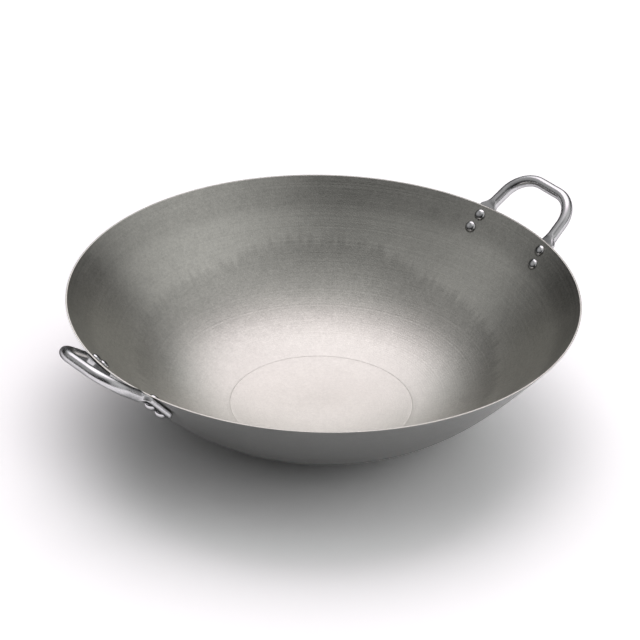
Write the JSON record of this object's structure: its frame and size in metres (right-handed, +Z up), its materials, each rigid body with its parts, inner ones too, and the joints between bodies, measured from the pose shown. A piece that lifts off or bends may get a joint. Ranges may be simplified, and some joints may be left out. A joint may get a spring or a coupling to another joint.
{
  "type": "two-handled wok",
  "caption": "Wide round wok of thin spun metal with a small flat base, a flaring curved wall with a plain cut rim, and a bent bar loop handle riveted to each side.",
  "frame": {"origin": "middle of the flat underside that the wok stands on", "axes": "+Z up through the middle of the bowl, +X through the middle of the right handle's grip, +Y to the rear"},
  "size_m": [0.4952, 0.42, 0.1342],
  "materials": {
    "titanium_sheet": "satin spun titanium with fine turning lines",
    "handle_steel": "polished stainless steel bar",
    "rivet_steel": "polished stainless steel"
  },
  "bodies": {
    "root": {"bowl": "titanium_sheet", "right_handle": "handle_steel", "right_rear_upper_rivet": "rivet_steel", "right_rear_lower_rivet": "rivet_steel", "right_front_upper_rivet": "rivet_steel", "right_front_lower_rivet": "rivet_steel", "left_handle": "handle_steel", "left_front_upper_rivet": "rivet_steel", "left_front_lower_rivet": "rivet_steel", "left_rear_upper_rivet": "rivet_steel", "left_rear_lower_rivet": "rivet_steel"}
  },
  "joints": []
}
